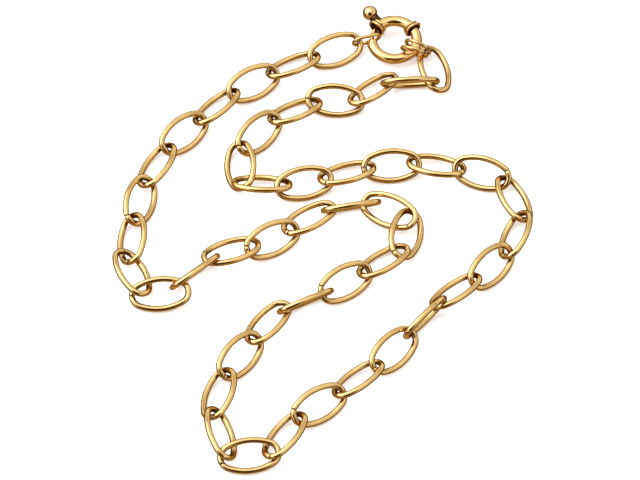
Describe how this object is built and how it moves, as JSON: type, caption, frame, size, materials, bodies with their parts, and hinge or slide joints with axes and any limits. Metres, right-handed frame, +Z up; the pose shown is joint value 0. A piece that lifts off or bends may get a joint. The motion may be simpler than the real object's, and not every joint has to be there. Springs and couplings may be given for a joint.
{
  "type": "cable chain necklace with bolt ring clasp",
  "caption": "Cable chain necklace of long oval wire links, lying as a closed loop, with a round bolt ring clasp whose ball draws back a sprung curved bolt.",
  "frame": {"origin": "on the surface that the necklace lies on, under the middle of its box", "axes": "+X to the right and +Y away from the viewer in the surface, +Z up from it"},
  "size_m": [0.0877, 0.1178, 0.0072],
  "materials": {
    "chain_gold": "polished",
    "clasp_gold": "polished"
  },
  "bodies": {
    "necklace": {"chain": "chain_gold", "small_link": "chain_gold", "bail_ring_upper": "chain_gold", "bail_ring_lower": "chain_gold", "clasp_ring": "clasp_gold"},
    "trigger": {"clasp_trigger": "clasp_gold"}
  },
  "joints": [
    {"name": "trigger_slide_back", "type": "hinge", "parent": "necklace", "child": "trigger", "pos_m": [0.01529, 0.0503, 0.0026], "axis": [0, 0.1045, -0.9945], "range_deg": [0, 40], "stiffness_Nm_per_rad": 0.006, "springref_deg": -28.65}
  ]
}
